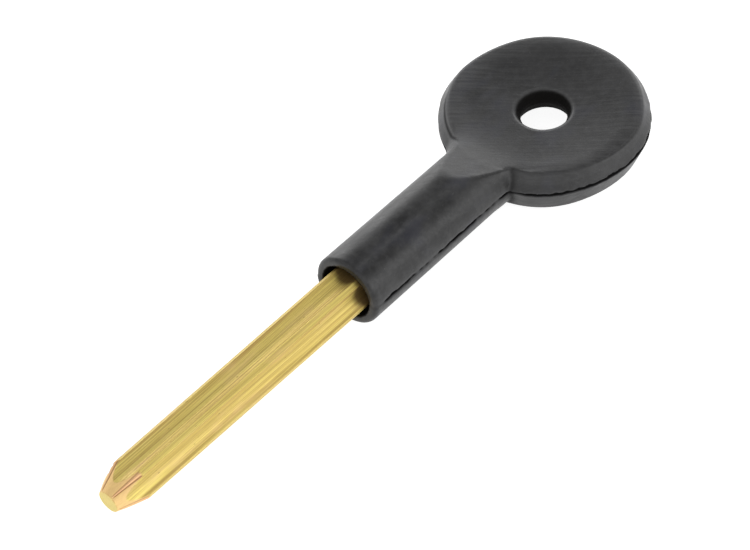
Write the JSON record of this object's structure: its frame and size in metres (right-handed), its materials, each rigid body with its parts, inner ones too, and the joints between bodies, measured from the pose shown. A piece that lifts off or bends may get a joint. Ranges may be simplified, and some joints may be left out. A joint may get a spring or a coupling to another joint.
{
  "type": "splined bolt key",
  "caption": "Long straight fluted brass key shank with a conical nose, moulded into a round black plastic bow with a hanging hole; it turns a star-shaped bolt spindle.",
  "frame": {"origin": "centre of the hanging hole, on the parting plane of the moulded bow", "axes": "+X runs along the key from the bow to the nose; +Z is the hanging hole's axis, out of the bow's shallower face; +Y completes a right-handed frame"},
  "size_m": [0.1151, 0.032, 0.0118],
  "materials": {
    "black_plastic": "satin moulded, lightly scuffed",
    "brass": "drawn bar, satin, with a turned nose"
  },
  "bodies": {
    "root": {"bow_handle": "black_plastic", "splined_shank": "brass"}
  },
  "joints": []
}
